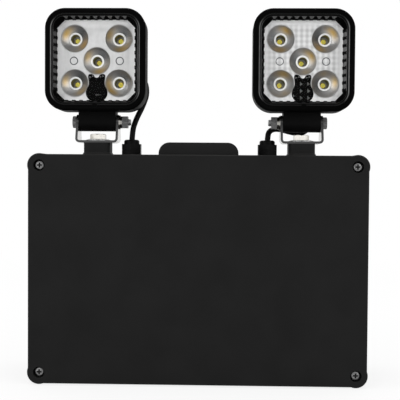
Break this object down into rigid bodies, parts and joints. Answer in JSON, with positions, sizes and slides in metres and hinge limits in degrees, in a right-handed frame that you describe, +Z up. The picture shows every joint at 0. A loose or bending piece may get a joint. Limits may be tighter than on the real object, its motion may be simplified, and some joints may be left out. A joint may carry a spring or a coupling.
{
  "type": "twin-head emergency light",
  "caption": "Wall emergency light: flat black battery enclosure with twin square LED lamp heads on steel U-brackets that turn and tilt.",
  "frame": {"origin": "centre of the enclosure's flat back face, which lies against the wall", "axes": "+Y into the wall, -Y towards the viewer, +X to the right seen from the front, +Z up"},
  "size_m": [0.2814, 0.09, 0.3139],
  "materials": {
    "enclosure_black": "moulded satin black plastic",
    "seal_rubber": "soft black rubber",
    "screw_steel": "zinc-plated steel",
    "battery_case": "dark grey plastic case",
    "terminal_metal": "tinned metal",
    "plated_band": "plated steel band",
    "circuit_board": "green circuit board",
    "laminated_iron": "laminated iron core and taped coil",
    "capacitor_can": "sleeved aluminium can",
    "fuse_brass": "brass clips and fuse",
    "terminal_block": "grey moulded plastic",
    "wire_black": "black wire sleeve",
    "wire_red": "red wire sleeve",
    "cable_jacket": "black cable jacket",
    "gland_nylon": "black nylon",
    "stainless_strap": "stainless steel strap",
    "bright_bolt": "bright steel",
    "head_black": "black powder coat on cast aluminium",
    "bezel_black": "black moulded plastic",
    "lens_clear": "clear plastic lens",
    "reflector_bright": "bright metallised plastic",
    "led_board_metal": "white-faced metal board",
    "led_yellow": "yellow phosphor package"
  },
  "bodies": {
    "box": {"back_box": "enclosure_black", "front_cover": "enclosure_black", "cover_gasket": "seal_rubber", "cover_screws": "screw_steel", "battery": "battery_case", "battery_terminals": "terminal_metal", "battery_band": "plated_band", "inner_screws": "screw_steel", "control_board": "circuit_board", "transformer": "laminated_iron", "capacitors": "capacitor_can", "fuse_holder": "fuse_brass", "mains_terminals": "terminal_block", "lamp_terminals": "terminal_block", "battery_lead_black": "wire_black", "battery_lead_red": "wire_red", "left_gland_body": "gland_nylon", "left_gland_cap": "gland_nylon", "left_gland_seal": "seal_rubber", "left_gland_locknut": "gland_nylon", "left_lamp_cable": "cable_jacket", "left_base_bolt": "bright_bolt", "left_base_washer": "bright_bolt", "left_base_nut": "bright_bolt", "right_gland_body": "gland_nylon", "right_gland_cap": "gland_nylon", "right_gland_seal": "seal_rubber", "right_gland_locknut": "gland_nylon", "right_lamp_cable": "cable_jacket", "right_base_bolt": "bright_bolt", "right_base_washer": "bright_bolt", "right_base_nut": "bright_bolt"},
    "left_bracket": {"left_bracket": "stainless_strap", "left_pivot_bolt": "bright_bolt", "left_pivot_washers": "bright_bolt", "left_pivot_nut": "bright_bolt"},
    "left_head": {"left_head_housing": "head_black", "left_bezel": "bezel_black", "left_lens": "lens_clear", "left_lens_seal": "seal_rubber", "left_reflector": "reflector_bright", "left_led_board": "led_board_metal", "left_leds": "led_yellow", "left_wire_boot": "seal_rubber", "left_strain_relief": "seal_rubber"},
    "right_bracket": {"right_bracket": "stainless_strap", "right_pivot_bolt": "bright_bolt", "right_pivot_washers": "bright_bolt", "right_pivot_nut": "bright_bolt"},
    "right_head": {"right_head_housing": "head_black", "right_bezel": "bezel_black", "right_lens": "lens_clear", "right_lens_seal": "seal_rubber", "right_reflector": "reflector_bright", "right_led_board": "led_board_metal", "right_leds": "led_yellow", "right_wire_boot": "seal_rubber", "right_strain_relief": "seal_rubber"}
  },
  "joints": [
    {"name": "left_pan", "type": "hinge", "parent": "box", "child": "left_bracket", "pos_m": [-0.0876, -0.05, 0.1057], "axis": [0, 0, 1], "range_deg": [-75, 30], "deforming": ["left_lamp_cable"]},
    {"name": "left_tilt", "type": "hinge", "parent": "left_bracket", "child": "left_head", "pos_m": [-0.0876, -0.05, 0.1236], "axis": [1, 0, 0], "range_deg": [-15, 50], "deforming": ["left_lamp_cable"]},
    {"name": "right_pan", "type": "hinge", "parent": "box", "child": "right_bracket", "pos_m": [0.0876, -0.05, 0.1057], "axis": [0, 0, 1], "range_deg": [-30, 75], "deforming": ["right_lamp_cable"]},
    {"name": "right_tilt", "type": "hinge", "parent": "right_bracket", "child": "right_head", "pos_m": [0.0876, -0.05, 0.1236], "axis": [1, 0, 0], "range_deg": [-15, 50], "deforming": ["right_lamp_cable"]}
  ]
}
